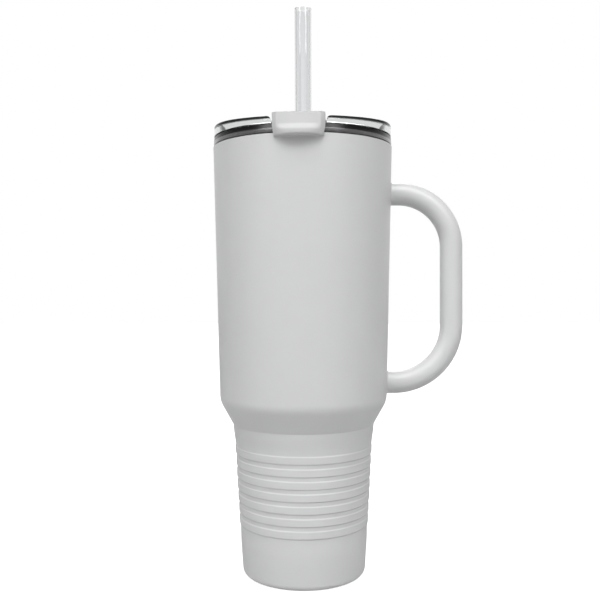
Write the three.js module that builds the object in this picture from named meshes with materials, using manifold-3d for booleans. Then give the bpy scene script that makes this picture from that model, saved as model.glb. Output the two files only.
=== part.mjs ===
// An insulated drinking mug: a double-walled steel cup with a loop handle, and a clear press-in
// lid that holds a flip tab over its sip slot and a straight straw.
// Millimetres, +Z up. The origin is on the cup's axis, in the plane that the cup stands on.
// The handle points to +X and the flip tab to -Y.

import * as THREE from 'three';
import { mergeVertices } from 'three/addons/utils/BufferGeometryUtils.js';
import Module from 'manifold-3d';

// ---------------------------------------------------------------- driving dimensions

const GAP = 0.3;                 // clearance between pieces that touch
const RUNNING_GAP = 0.1;         // radial clearance of a part that turns on a pin
const ROUND_SIDES = 36;          // facets round the cup
const SMALL_SIDES = 16;          // facets round a small piece
const CORNER_STEP = 0.5;         // radians of turn for each facet of a rounded corner

const SHEET = 0.6;               // thickness of the steel sheet
const VACUUM = 3.0;              // space between the shell and the liner

const FOOT_R = 31.4;             // where the shell's rolled foot ends
const BASE_R = 34.45;            // narrow part, produced down to the standing plane
const FOOT_ROUND = 3.2;
const CREASE_R = 39.75;          // top of the narrow part
const CREASE_Z = 84.4;
const SHOULDER_R = 47.02;        // bottom of the wide part
const SHOULDER_Z = 97.5;
const SHOULDER_ROUND = 13;
const RIM_R = 50.1;              // top of the painted shell
const RIM_Z = 239.1;

const RING_COUNT = 7;            // grip rings round the narrow part
const RING_PITCH = 6.63;
const RING_HEIGHT = 5;
const RING_EDGE = 0.7;
const RING_PROUD = 0.4;          // at a ring's lower edge
const RING_PROUD_TOP = 0.26;     // at its upper edge
const RING_LOWEST_Z = 28;
const RECESS = [                 // [z, depth] of the pressed-in ground between the rings
  [18, 0], [27, 0.3], [43, 0.38], [57, 0.5], [66, 0.75], [73, 0.72], [80, 0],
];

const LINER_END_Z = 9.6;         // where the liner's wall meets its bottom
const FLOOR_Z = 7.4;             // underside of the liner's bottom
const SEAL_DISC_Z = 4;           // underside of the disc that closes the vacuum space
const SEAL_DISC_R = 33.7;
const SEAL_FLANGE = 0.6;         // how far its edge turns down
const DIMPLE_R = 3.8;
const DIMPLE_DEPTH = 1;
const EVACUATION_HOLE_R = 0.9;
const BEAD_R = 3.2;
const BASE_FLANGE = 3;           // how far the base plate's edge turns up
const GETTER_X = 16;
const GETTER_R = 4.4;
const GETTER_HEIGHT = 1.5;
const GETTER_CAP_SHEET = 0.4;
const NECK_LOW_Z = 214;          // the liner widens from here ...
const NECK_HIGH_Z = 225;         // ... to here, to make the lid's seat
const LIP_R = 49.8;              // the bare steel lip above the painted shell
const LIP_TOP_Z = 244.1;
const LIP_ROUND = 0.6;

const HANDLE_X = 83.3;           // centre line of the upright grip
const HANDLE_TOP_Z = 213.05;     // centre lines of the two arms
const HANDLE_BOTTOM_Z = 107.25;
const HANDLE_TOP_BEND = 29.75;   // centre line radii
const HANDLE_BOTTOM_BEND = 32.25;
const HANDLE_R = 6.25;           // radius of the tube
const HANDLE_WALL = 1.2;
const HANDLE_START_X = 40;       // the uncut tube starts inside the cup
const HANDLE_STEPS = 30;

const LID_FLANGE_R = 49.6;
const LID_TOP_Z = 248.1;         // the rim's top at the front
const LID_EDGE_ROUND = 2.2;
const LID_SLOPE = 0.0885;        // how fast the rim's top rises from the front to the middle
const LID_SLOPE_END = 10;        // it eases out this far before and behind the middle, then stays level
const LID_RIM_WALL = 3.2;        // thickness of the raised rim
const DECK_TOP_Z = 242.2;
const DECK_THICK = 2.2;
const SKIRT_R = 47.5;
const SKIRT_WALL = 3.0;
const SKIRT_BOTTOM_Z = 231;
const GROOVE_LOW_Z = 235.5;
const GROOVE_HIGH_Z = 239.5;
const GROOVE_DEPTH = 1.6;
const SEAL_R = 48.1;             // outer edge of the gasket's lips
const SEAL_LIP = 1.2;            // height of one of its lips

const NOTCH_HALF_WIDTH = 14.1;   // cut in the lid's rim where the tab passes over it
const NOTCH_Z = 245.4;
const NOTCH_ROUND = 2.9;

const STRAW_Y = 12;
const STRAW_R = 4.9;
const STRAW_WALL = 1;
const STRAW_BOTTOM_Z = 12;
const STRAW_TOP_Z = 322;
const GROMMET_NECK_R = 6.5;
const GROMMET_FLANGE_R = 7.9;
const GROMMET_FLANGE = 1;

const HINGE_Y = -14;
const HINGE_Z = 246;
const PIN_R = 1.25;
const KNUCKLE_R = 3.2;
const KNUCKLE_HALF_WIDTH = 9.8;
const EAR_R = 2.9;
const EAR_WIDTH = 2.6;

const TAB_HALF_WIDTH = 13.5;
const TAB_TOP_Z = 249.2;
const TAB_THICK = 2.3;
const TAB_FRONT_Y = -51.4;
const TAB_REAR_Y = -18.5;
const TAB_EDGE = 0.6;
const TONGUE_Y = -55.2;          // the lip that a thumb lifts
const TONGUE_PLAN_R = 18.6;
const TONGUE_BOTTOM_Z = 237.3;
const TONGUE_TOP_Z = 241;
const FLARE_TOP_Z = 243.8;
const TAB_CLEAR_R = LIP_R + GAP; // the tab stays outside this, below the rim

const SIP_Y = -36.5;
const SIP_HALF_X = 8.3;
const SIP_HALF_Y = 3.9;
const PLUG_GAP = 0.6;            // room for the plug to swing out of its slot
const PLUG_BOTTOM_Z = 240.3;
const PLUG_FLANGE = 1;
const PLUG_WALL = 1.2;
const PLUG_TOP_Z = 245.6;

// ---------------------------------------------------------------- solids

const wasm = await Module();
wasm.setup();

// A closed geometry as a solid that can be joined and cut.
function toSolid(geometry) {
  const bare = geometry.clone();
  bare.deleteAttribute('normal');
  bare.deleteAttribute('uv');
  const merged = mergeVertices(bare, 1e-4);
  const index = merged.index.array;
  const triangles = [];
  for (let i = 0; i < index.length; i += 3) {
    const [a, b, c] = [index[i], index[i + 1], index[i + 2]];
    if (a !== b && b !== c && c !== a) triangles.push(a, b, c);
  }
  return new wasm.Manifold(new wasm.Mesh({
    numProp: 3,
    vertProperties: new Float32Array(merged.attributes.position.array),
    triVerts: new Uint32Array(triangles),
  }));
}

function toGeometry(solid) {
  const { vertProperties, triVerts } = solid.getMesh();
  const geometry = new THREE.BufferGeometry();
  geometry.setAttribute('position', new THREE.BufferAttribute(vertProperties, 3));
  geometry.setIndex(new THREE.BufferAttribute(triVerts, 1));
  geometry.computeVertexNormals();
  return geometry;
}

// A solid of revolution about Z. The profile's [r, z] points run up the outside and down the inside.
function lathe(profile, sides = ROUND_SIDES) {
  const points = profile.map(([r, z]) => new THREE.Vector2(r, z));
  return new THREE.LatheGeometry(points, sides).rotateX(Math.PI / 2);
}

// A ring of revolution, whose profile closes on itself.
function ring(profile, sides = ROUND_SIDES) {
  return lathe([...profile, profile[0]], sides);
}

// Extrudes a shape drawn in (y, z) from x = from to x = to.
function extrudeAlongX(shape, from, to, curveSegments = 6) {
  const basis = new THREE.Matrix4().makeBasis(
    new THREE.Vector3(0, 1, 0),
    new THREE.Vector3(0, 0, 1),
    new THREE.Vector3(1, 0, 0),
  );
  const options = { depth: to - from, bevelEnabled: false, curveSegments };
  return new THREE.ExtrudeGeometry(shape, options).applyMatrix4(basis).translate(from, 0, 0);
}

// Extrudes a shape drawn in (x, y) from z = from to z = to.
function extrudeAlongZ(shape, from, to, curveSegments = 6) {
  const options = { depth: to - from, bevelEnabled: false, curveSegments };
  return new THREE.ExtrudeGeometry(shape, options).translate(0, 0, from);
}

function roundedRectangle(halfX, halfY, corner, centreY = 0) {
  const shape = new THREE.Shape();
  const x = halfX - corner;
  const y = halfY - corner;
  shape.absarc(x, centreY - y, corner, -Math.PI / 2, 0);
  shape.absarc(x, centreY + y, corner, 0, Math.PI / 2);
  shape.absarc(-x, centreY + y, corner, Math.PI / 2, Math.PI);
  shape.absarc(-x, centreY - y, corner, Math.PI, 1.5 * Math.PI);
  shape.closePath();
  return shape;
}

// A profile with straight runs and rounded corners, moved in by inset from its own line.
// Each corner is { r, z, round }. The inside of the sheet lies to the left of the line.
function outline(corners, inset = 0) {
  const runs = corners.slice(1).map((end, i) => {
    const start = corners[i];
    const length = Math.hypot(end.r - start.r, end.z - start.z);
    const u = [(end.r - start.r) / length, (end.z - start.z) / length];
    const left = [-u[1] * inset, u[0] * inset];
    return {
      u,
      start: [start.r + left[0], start.z + left[1]],
      end: [end.r + left[0], end.z + left[1]],
    };
  });
  const points = [runs[0].start];
  for (let i = 1; i < runs.length; i++) {
    points.push(...corner(runs[i - 1], runs[i], corners[i].round ?? 0, inset));
  }
  points.push(runs.at(-1).end);
  return points;
}

// The points round the corner between two runs of an outline.
function corner(before, after, round, inset) {
  const [u, v] = [before.u, after.u];
  const cross = u[0] * v[1] - u[1] * v[0];
  const along = ((after.start[0] - before.end[0]) * v[1] - (after.start[1] - before.end[1]) * v[0]) / cross;
  const meet = [before.end[0] + u[0] * along, before.end[1] + u[1] * along];
  const side = Math.sign(cross);
  const radius = Math.max(0, round - side * inset);
  if (round === 0 || radius === 0) return [meet];
  const turn = Math.asin(Math.abs(cross));
  const tangent = radius * Math.tan(turn / 2);
  const from = [meet[0] - u[0] * tangent, meet[1] - u[1] * tangent];
  const centre = [from[0] - side * u[1] * radius, from[1] + side * u[0] * radius];
  const steps = Math.max(2, Math.round(turn / CORNER_STEP));
  const points = [];
  for (let i = 0; i <= steps; i++) {
    const angle = (side * turn * i) / steps;
    const [dr, dz] = [from[0] - centre[0], from[1] - centre[1]];
    points.push([
      centre[0] + dr * Math.cos(angle) - dz * Math.sin(angle),
      centre[1] + dr * Math.sin(angle) + dz * Math.cos(angle),
    ]);
  }
  return points;
}

// A sheet metal piece of revolution that closes on the axis.
function dish(corners) {
  return lathe([...outline(corners), ...outline(corners, SHEET).reverse()], ROUND_SIDES);
}

// ---------------------------------------------------------------- materials

function material(color, roughness, metalness = 0, opacity = 1) {
  return new THREE.MeshStandardMaterial({
    color, roughness, metalness, opacity, transparent: opacity < 1,
  });
}

const powderCoat = () => material('#c9c9ca', 0.55, 0.1);
const bareSteel = () => material('#b4b6b8', 0.32, 0.95);
const clearPlastic = () => material('#f2f5f6', 0.08, 0, 0.35);
const greyPlastic = () => material('#dcdddd', 0.4);
const silicone = () => material('#e6e6e4', 0.7);

// ---------------------------------------------------------------- the cup

const CREASE = { r: CREASE_R, z: CREASE_Z, round: 1.5 };
const SHOULDER = { r: SHOULDER_R, z: SHOULDER_Z, round: SHOULDER_ROUND };
const SHELL_CORNERS = [
  { r: FOOT_R, z: 0 },
  { r: BASE_R, z: 0, round: FOOT_ROUND },
  CREASE,
  SHOULDER,
  { r: RIM_R, z: RIM_Z },
];

// Outer radius of the narrow part, and of the wide part, at a height.
const narrowR = (z) => BASE_R + ((CREASE_R - BASE_R) * z) / CREASE_Z;
const wideR = (z) => SHOULDER_R + ((RIM_R - SHOULDER_R) * (z - SHOULDER_Z)) / (RIM_Z - SHOULDER_Z);

// How far the ground between the grip rings is pressed in at a height.
function recess(z) {
  const next = RECESS.findIndex(([knot]) => knot >= z);
  const [[z0, depth0], [z1, depth1]] = [RECESS[next - 1], RECESS[next]];
  return depth0 + (depth1 - depth0) * (z - z0) / (z1 - z0);
}

// The outside of the narrow part over the pressed-in zone, from its lower end up.
function gripRings() {
  const at = (z, proud) => [narrowR(z) - recess(z) + proud, z];
  const points = [[narrowR(RECESS[0][0]), RECESS[0][0]]];
  for (let i = 0; i < RING_COUNT; i++) {
    const low = RING_LOWEST_Z + i * RING_PITCH;
    const high = low + RING_HEIGHT;
    points.push(at(low, 0), at(low + RING_EDGE, RING_PROUD));
    points.push(at(high - RING_EDGE, RING_PROUD_TOP), at(high, 0));
  }
  return [...points, [narrowR(RECESS.at(-1)[0]), RECESS.at(-1)[0]]];
}

function outerShell() {
  const [low, high] = [RECESS[0][0], RECESS.at(-1)[0]];
  const outside = outline(SHELL_CORNERS);
  const inside = outline(SHELL_CORNERS, SHEET).reverse();
  const behindRings = RECESS.map(([z, depth]) => [narrowR(z) - depth - SHEET, z]).reverse();
  return ring([
    ...outside.filter(([, z]) => z < low),
    ...gripRings(),
    ...outside.filter(([, z]) => z > high),
    ...inside.filter(([, z]) => z > high),
    ...behindRings,
    ...inside.filter(([, z]) => z < low),
  ]);
}

// One face of the liner from its lower end up to the lip: inset 0 is the face towards the vacuum.
function linerFace(inset) {
  const body = outline([
    { r: narrowR(LINER_END_Z), z: LINER_END_Z },
    CREASE,
    SHOULDER,
    { r: wideR(NECK_LOW_Z), z: NECK_LOW_Z },
  ], SHEET + VACUUM + inset);
  body[0][1] = LINER_END_Z;
  const seat = SHEET + GAP + inset;
  return [
    ...body,
    [wideR(NECK_HIGH_Z) - seat, NECK_HIGH_Z],
    [wideR(RIM_Z) - seat, RIM_Z + GAP],
  ];
}

function innerLiner() {
  const inside = linerFace(SHEET);
  const mouth = [inside.at(-1)[0], LIP_TOP_Z];
  return ring([
    ...linerFace(0),
    [LIP_R, RIM_Z + GAP],
    [LIP_R, LIP_TOP_Z - LIP_ROUND],
    [LIP_R - LIP_ROUND, LIP_TOP_Z],
    mouth,
    ...inside.reverse(),
  ]);
}

// The floor of the drink space: a shallow dish under the end of the liner's wall.
function innerBottom() {
  const edge = narrowR(LINER_END_Z) - SHEET - VACUUM;
  return dish([
    { r: 0, z: FLOOR_Z },
    { r: edge, z: FLOOR_Z, round: 1.6 },
    { r: edge, z: LINER_END_Z - GAP },
  ]);
}

// The disc that closes the vacuum space, with a dimple and an evacuation hole at its centre.
function middleBottom() {
  const dimpleZ = SEAL_DISC_Z + DIMPLE_DEPTH;
  const slope = 1.2;
  return ring([
    [EVACUATION_HOLE_R, dimpleZ],
    [DIMPLE_R, dimpleZ],
    [DIMPLE_R + slope, SEAL_DISC_Z],
    [SEAL_DISC_R - SHEET, SEAL_DISC_Z],
    [SEAL_DISC_R - SHEET, SEAL_DISC_Z - SEAL_FLANGE],
    [SEAL_DISC_R, SEAL_DISC_Z - SEAL_FLANGE],
    [SEAL_DISC_R, SEAL_DISC_Z + SHEET],
    [DIMPLE_R + slope / 2, SEAL_DISC_Z + SHEET],
    [DIMPLE_R - slope / 2, dimpleZ + SHEET],
    [EVACUATION_HOLE_R, dimpleZ + SHEET],
  ]);
}

// The bead of solder glass in the dimple, which seals the evacuation hole.
function vacuumSeal() {
  const top = SEAL_DISC_Z + DIMPLE_DEPTH - GAP;
  return lathe([
    [0, SEAL_DISC_Z],
    [0.75 * BEAD_R, SEAL_DISC_Z],
    [BEAD_R, (SEAL_DISC_Z + top) / 2],
    [BEAD_R, top],
    [0, top],
  ], SMALL_SIDES);
}

// The pill that keeps the vacuum.
function getter() {
  const low = SEAL_DISC_Z + SHEET + GAP;
  const high = low + GETTER_HEIGHT;
  return lathe([[0, low], [GETTER_R, low], [GETTER_R, high], [0, high]], SMALL_SIDES);
}

// The thin cap that holds the getter on the disc.
function getterCap() {
  const low = SEAL_DISC_Z + SHEET + GAP;
  const roof = low + GETTER_HEIGHT + GAP;
  const bore = GETTER_R + GAP;
  const outside = bore + GETTER_CAP_SHEET;
  return lathe([
    [0, roof],
    [bore, roof],
    [bore, low],
    [outside, low],
    [outside, roof + GETTER_CAP_SHEET],
    [0, roof + GETTER_CAP_SHEET],
  ], SMALL_SIDES);
}

// The base plate that the cup stands on, flush with the shell's foot.
function outerBottom() {
  return dish([
    { r: 0, z: 0 },
    { r: FOOT_R - GAP, z: 0, round: 0.9 },
    { r: FOOT_R - GAP, z: BASE_FLANGE },
  ]);
}

// ---------------------------------------------------------------- the handle

class Bend extends THREE.Curve {
  // A quarter circle in the XZ plane about (x, z), from the angle start through -90 degrees.
  constructor(x, z, radius, start) {
    super();
    Object.assign(this, { x, z, radius, start });
  }

  getPoint(t, target = new THREE.Vector3()) {
    const angle = this.start - (t * Math.PI) / 2;
    return target.set(
      this.x + this.radius * Math.cos(angle),
      0,
      this.z + this.radius * Math.sin(angle),
    );
  }
}

function handlePath() {
  const topX = HANDLE_X - HANDLE_TOP_BEND;
  const bottomX = HANDLE_X - HANDLE_BOTTOM_BEND;
  const topZ = HANDLE_TOP_Z - HANDLE_TOP_BEND;
  const bottomZ = HANDLE_BOTTOM_Z + HANDLE_BOTTOM_BEND;
  const point = (x, z) => new THREE.Vector3(x, 0, z);
  const path = new THREE.CurvePath();
  path.add(new THREE.LineCurve3(point(HANDLE_START_X, HANDLE_TOP_Z), point(topX, HANDLE_TOP_Z)));
  path.add(new Bend(topX, topZ, HANDLE_TOP_BEND, Math.PI / 2));
  path.add(new THREE.LineCurve3(point(HANDLE_X, topZ), point(HANDLE_X, bottomZ)));
  path.add(new Bend(bottomX, bottomZ, HANDLE_BOTTOM_BEND, 0));
  path.add(new THREE.LineCurve3(point(bottomX, HANDLE_BOTTOM_Z), point(HANDLE_START_X, HANDLE_BOTTOM_Z)));
  return path;
}

// The filled outside of the cup, grown by the gap, which trims what stands on its wall.
function cupEnvelope() {
  const profile = outline(SHELL_CORNERS, -GAP);
  return toSolid(lathe([[0, profile[0][1]], ...profile, [0, profile.at(-1)[1]]]));
}

function handle() {
  const section = new THREE.Shape().absarc(0, 0, HANDLE_R, 0, 2 * Math.PI);
  section.holes.push(new THREE.Path().absarc(0, 0, HANDLE_R - HANDLE_WALL, 0, 2 * Math.PI, true));
  const tube = new THREE.ExtrudeGeometry(section, {
    steps: HANDLE_STEPS,
    extrudePath: handlePath(),
    curveSegments: SMALL_SIDES / 2,
  });
  return toGeometry(toSolid(tube).subtract(cupEnvelope()));
}

// A plug welded to the shell at a height, which one end of the hollow handle is pushed over.
function handleBoss(z, endX) {
  const radius = HANDLE_R - HANDLE_WALL - GAP;
  const length = endX - HANDLE_START_X;
  const plug = new THREE.CylinderGeometry(radius, radius, length, SMALL_SIDES).rotateZ(Math.PI / 2);
  plug.translate(HANDLE_START_X + length / 2, 0, z);
  return toGeometry(toSolid(plug).subtract(cupEnvelope()));
}

// ---------------------------------------------------------------- the lid

function lidProfile() {
  const inner = LID_FLANGE_R - LID_RIM_WALL;
  const underside = LIP_TOP_Z + GAP;
  const shoulder = outline([
    { r: SKIRT_R, z: underside },
    { r: LID_FLANGE_R, z: underside, round: 0.4 },
    { r: LID_FLANGE_R, z: LID_TOP_Z, round: LID_EDGE_ROUND },
    { r: inner, z: LID_TOP_Z, round: 0.5 },
    { r: inner, z: DECK_TOP_Z },
  ]);
  return [
    [0, DECK_TOP_Z - DECK_THICK],
    [SKIRT_R - SKIRT_WALL, DECK_TOP_Z - DECK_THICK],
    [SKIRT_R - SKIRT_WALL, SKIRT_BOTTOM_Z],
    [SKIRT_R - 0.5, SKIRT_BOTTOM_Z],
    [SKIRT_R, SKIRT_BOTTOM_Z + 1],
    [SKIRT_R, GROOVE_LOW_Z],
    [SKIRT_R - GROOVE_DEPTH, GROOVE_LOW_Z],
    [SKIRT_R - GROOVE_DEPTH, GROOVE_HIGH_Z],
    [SKIRT_R, GROOVE_HIGH_Z],
    ...shoulder,
    [0, DECK_TOP_Z],
  ];
}

// How much higher the rim's top is at y than at the front.
function rimLift(y) {
  const eased = Math.max(0, Math.min(y, LID_SLOPE_END) + LID_SLOPE_END);
  return LID_SLOPE * (LID_FLANGE_R + Math.min(y, LID_SLOPE_END) - eased ** 2 / (4 * LID_SLOPE_END));
}

// The turned lid, with the top of its rim raised towards the back.
function turnedLid() {
  const geometry = lathe(lidProfile());
  const place = geometry.attributes.position;
  const rimLow = LID_TOP_Z - LID_EDGE_ROUND - GAP;
  for (let i = 0; i < place.count; i += 1) {
    if (place.getZ(i) > rimLow) place.setZ(i, place.getZ(i) + rimLift(place.getY(i)));
  }
  return geometry;
}

// One of the two ears that carry the hinge pin, from x = from to x = to.
function ear(from, to) {
  const shape = new THREE.Shape();
  const root = DECK_TOP_Z - DECK_THICK / 2;
  shape.moveTo(HINGE_Y - EAR_R, root);
  shape.lineTo(HINGE_Y + EAR_R, root);
  shape.absarc(HINGE_Y, HINGE_Z, EAR_R, 0, Math.PI);
  shape.closePath();
  const hole = new THREE.Path();
  hole.absarc(HINGE_Y, HINGE_Z, PIN_R + GAP, 0, 2 * Math.PI, true);
  shape.holes.push(hole);
  return toSolid(extrudeAlongX(shape, from, to));
}

// What is cut out of the lid's rim where the tab passes over it.
function rimNotch() {
  const shape = new THREE.Shape();
  const clear = LID_TOP_Z + 5;
  const roundX = NOTCH_HALF_WIDTH + NOTCH_ROUND;
  shape.moveTo(-roundX, clear);
  shape.absarc(-roundX, NOTCH_Z, NOTCH_ROUND, Math.PI / 2, 0, true);
  shape.absarc(roundX, NOTCH_Z, NOTCH_ROUND, Math.PI, Math.PI / 2, true);
  shape.lineTo(roundX, clear);
  shape.closePath();
  const options = { depth: 30, bevelEnabled: false, curveSegments: 5 };
  const cut = new THREE.ExtrudeGeometry(shape, options).rotateX(Math.PI / 2);
  return toSolid(cut.translate(0, -30, 0));
}

function lidBody() {
  const strawHole = lathe([
    [0, DECK_TOP_Z - 5],
    [GROMMET_NECK_R + GAP, DECK_TOP_Z - 5],
    [GROMMET_NECK_R + GAP, DECK_TOP_Z + 5],
    [0, DECK_TOP_Z + 5],
  ], SMALL_SIDES).translate(0, STRAW_Y, 0);
  const sipSlot = roundedRectangle(SIP_HALF_X, SIP_HALF_Y, SIP_HALF_Y, SIP_Y);
  const earFrom = KNUCKLE_HALF_WIDTH + GAP;
  return toGeometry(
    toSolid(turnedLid())
      .subtract(rimNotch())
      .subtract(toSolid(strawHole))
      .subtract(toSolid(extrudeAlongZ(sipSlot, DECK_TOP_Z - 5, DECK_TOP_Z + 1)))
      .add(ear(earFrom, earFrom + EAR_WIDTH))
      .add(ear(-earFrom - EAR_WIDTH, -earFrom)),
  );
}

// The silicone gasket in the skirt's groove, with two lips against the cup's mouth.
function lidGasket() {
  const inner = SKIRT_R - GROOVE_DEPTH + GAP;
  const low = GROOVE_LOW_Z + GAP;
  const high = GROOVE_HIGH_Z - GAP;
  const web = (inner + SEAL_R) / 2;
  return ring([
    [inner, low],
    [SEAL_R, low],
    [SEAL_R, low + SEAL_LIP],
    [web, low + SEAL_LIP],
    [web, high - SEAL_LIP],
    [SEAL_R, high - SEAL_LIP],
    [SEAL_R, high],
    [inner, high],
  ]);
}

// The silicone bush that the straw slides in.
function strawGrommet() {
  const bore = STRAW_R + GAP;
  const under = DECK_TOP_Z - DECK_THICK - GAP;
  const over = DECK_TOP_Z + GAP;
  return ring([
    [bore, under - GROMMET_FLANGE],
    [GROMMET_FLANGE_R, under - GROMMET_FLANGE],
    [GROMMET_FLANGE_R, under],
    [GROMMET_NECK_R, under],
    [GROMMET_NECK_R, over],
    [GROMMET_FLANGE_R, over],
    [GROMMET_FLANGE_R, over + GROMMET_FLANGE],
    [bore, over + GROMMET_FLANGE],
  ], SMALL_SIDES).translate(0, STRAW_Y, 0);
}

function straw() {
  return ring([
    [STRAW_R - STRAW_WALL, STRAW_BOTTOM_Z],
    [STRAW_R, STRAW_BOTTOM_Z],
    [STRAW_R, STRAW_TOP_Z],
    [STRAW_R - STRAW_WALL, STRAW_TOP_Z],
  ], SMALL_SIDES).translate(0, STRAW_Y, 0);
}

// ---------------------------------------------------------------- the flip tab

function hingePin() {
  const length = 2 * (KNUCKLE_HALF_WIDTH + GAP + EAR_WIDTH);
  const pin = new THREE.CylinderGeometry(PIN_R, PIN_R, length, SMALL_SIDES);
  return pin.rotateZ(Math.PI / 2).translate(0, HINGE_Y, HINGE_Z);
}

// The tab in side view: a plate over the deck that turns down outside the rim into a tongue.
function tabSide() {
  const shape = new THREE.Shape();
  const plateZ = TAB_TOP_Z - TAB_THICK;
  const innerY = TAB_FRONT_Y + 3.4;
  shape.moveTo(TAB_REAR_Y, plateZ);
  shape.lineTo(TAB_REAR_Y, TAB_TOP_Z);
  shape.lineTo(TAB_FRONT_Y + TAB_EDGE, TAB_TOP_Z);
  shape.lineTo(TAB_FRONT_Y, TAB_TOP_Z - TAB_EDGE);
  shape.lineTo(TAB_FRONT_Y, FLARE_TOP_Z);
  shape.lineTo(TONGUE_Y, TONGUE_TOP_Z);
  shape.lineTo(TONGUE_Y, TONGUE_BOTTOM_Z + TAB_EDGE);
  shape.lineTo(TONGUE_Y + TAB_EDGE, TONGUE_BOTTOM_Z);
  shape.lineTo(innerY, TONGUE_BOTTOM_Z);
  shape.lineTo(innerY, plateZ);
  shape.closePath();
  return shape;
}

// The tab in plan: straight sides and a round front.
function tabPlan() {
  const shape = new THREE.Shape();
  const centreY = TONGUE_Y + TONGUE_PLAN_R;
  const reach = Math.acos(TAB_HALF_WIDTH / TONGUE_PLAN_R);
  shape.moveTo(TAB_HALF_WIDTH, 0);
  shape.lineTo(-TAB_HALF_WIDTH, 0);
  shape.absarc(0, centreY, TONGUE_PLAN_R, Math.PI + reach, 2 * Math.PI - reach);
  shape.closePath();
  return shape;
}

// The narrow rear of the tab, with the knuckle that turns on the pin.
function tabKnuckle() {
  const shape = new THREE.Shape();
  shape.moveTo(HINGE_Y, TAB_TOP_Z);
  shape.lineTo(TAB_REAR_Y - 1, TAB_TOP_Z);
  shape.lineTo(TAB_REAR_Y - 1, TAB_TOP_Z - TAB_THICK);
  shape.lineTo(HINGE_Y - 3, TAB_TOP_Z - TAB_THICK);
  shape.absarc(HINGE_Y, HINGE_Z, KNUCKLE_R, 0.85 * Math.PI, 2.5 * Math.PI);
  shape.closePath();
  const bore = new THREE.Path();
  bore.absarc(HINGE_Y, HINGE_Z, PIN_R + RUNNING_GAP, 0, 2 * Math.PI, true);
  shape.holes.push(bore);
  return toSolid(extrudeAlongX(shape, -KNUCKLE_HALF_WIDTH, KNUCKLE_HALF_WIDTH, 8));
}

// The stud's outline in plan, and the plug's outlines round it, for a given inset from the slot.
const plugPlan = (inset) => roundedRectangle(SIP_HALF_X - inset, SIP_HALF_Y - inset, SIP_HALF_Y - inset, SIP_Y);

function flap() {
  const clearTop = NOTCH_Z + GAP;
  const clear = lathe([
    [0, TONGUE_BOTTOM_Z - 5],
    [TAB_CLEAR_R, TONGUE_BOTTOM_Z - 5],
    [TAB_CLEAR_R, clearTop],
    [0, clearTop],
  ]);
  const plan = toSolid(extrudeAlongZ(tabPlan(), TONGUE_BOTTOM_Z - 5, TAB_TOP_Z + 5, 14));
  const plate = toSolid(extrudeAlongX(tabSide(), -TAB_HALF_WIDTH, TAB_HALF_WIDTH));
  const stud = extrudeAlongZ(
    plugPlan(PLUG_GAP + PLUG_WALL + GAP),
    PLUG_BOTTOM_Z + PLUG_WALL + GAP,
    TAB_TOP_Z - TAB_THICK / 2,
  );
  return toGeometry(
    plate.intersect(plan).subtract(toSolid(clear)).add(tabKnuckle()).add(toSolid(stud)),
  );
}

// The silicone stopper pushed over the tab's stud. It fills the sip slot and rests on the deck.
function sipPlug() {
  const flangeZ = DECK_TOP_Z + GAP;
  const body = toSolid(extrudeAlongZ(plugPlan(PLUG_GAP), PLUG_BOTTOM_Z, PLUG_TOP_Z));
  const flange = toSolid(extrudeAlongZ(plugPlan(-1.2), flangeZ, flangeZ + PLUG_FLANGE));
  const socketPlan = plugPlan(PLUG_GAP + PLUG_WALL);
  const socket = toSolid(extrudeAlongZ(socketPlan, PLUG_BOTTOM_Z + PLUG_WALL, PLUG_TOP_Z + 1));
  return toGeometry(body.add(flange).subtract(socket));
}

// ---------------------------------------------------------------- the assembly

function addPiece(group, name, geometry, finish) {
  const piece = new THREE.Mesh(geometry, finish);
  piece.name = name;
  group.add(piece);
  return piece;
}

const cup = new THREE.Group();
addPiece(cup, 'outer_shell', outerShell(), powderCoat());
addPiece(cup, 'inner_liner', innerLiner(), bareSteel());
addPiece(cup, 'inner_bottom', innerBottom(), bareSteel());
addPiece(cup, 'middle_bottom', middleBottom(), bareSteel());
addPiece(cup, 'vacuum_seal', vacuumSeal(), material('#5d6670', 0.3));
addPiece(cup, 'getter', getter(), material('#6f6f72', 0.6, 0.7)).position.x = GETTER_X;
addPiece(cup, 'getter_cap', getterCap(), bareSteel()).position.x = GETTER_X;
addPiece(cup, 'outer_bottom', outerBottom(), bareSteel());
addPiece(cup, 'handle', handle(), powderCoat());
const upperBoss = handleBoss(HANDLE_TOP_Z, HANDLE_X - HANDLE_TOP_BEND);
const lowerBoss = handleBoss(HANDLE_BOTTOM_Z, HANDLE_X - HANDLE_BOTTOM_BEND);
addPiece(cup, 'handle_upper_boss', upperBoss, bareSteel());
addPiece(cup, 'handle_lower_boss', lowerBoss, bareSteel());

const lid = new THREE.Group();
addPiece(lid, 'lid_body', lidBody(), clearPlastic());
addPiece(lid, 'lid_gasket', lidGasket(), silicone());
addPiece(lid, 'straw_grommet', strawGrommet(), silicone());
addPiece(lid, 'straw', straw(), clearPlastic());
addPiece(lid, 'flap_hinge_pin', hingePin(), bareSteel());
addPiece(lid, 'flap', flap(), greyPlastic());
addPiece(lid, 'sip_plug', sipPlug(), silicone());

const mug = new THREE.Group();
mug.add(cup, lid);

export default mug;
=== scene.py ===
"""An insulated steel mug with a loop handle, a clear lid, a flip tab and a straw."""

import math

import bmesh
import bpy
from mathutils import Matrix, Vector


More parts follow.
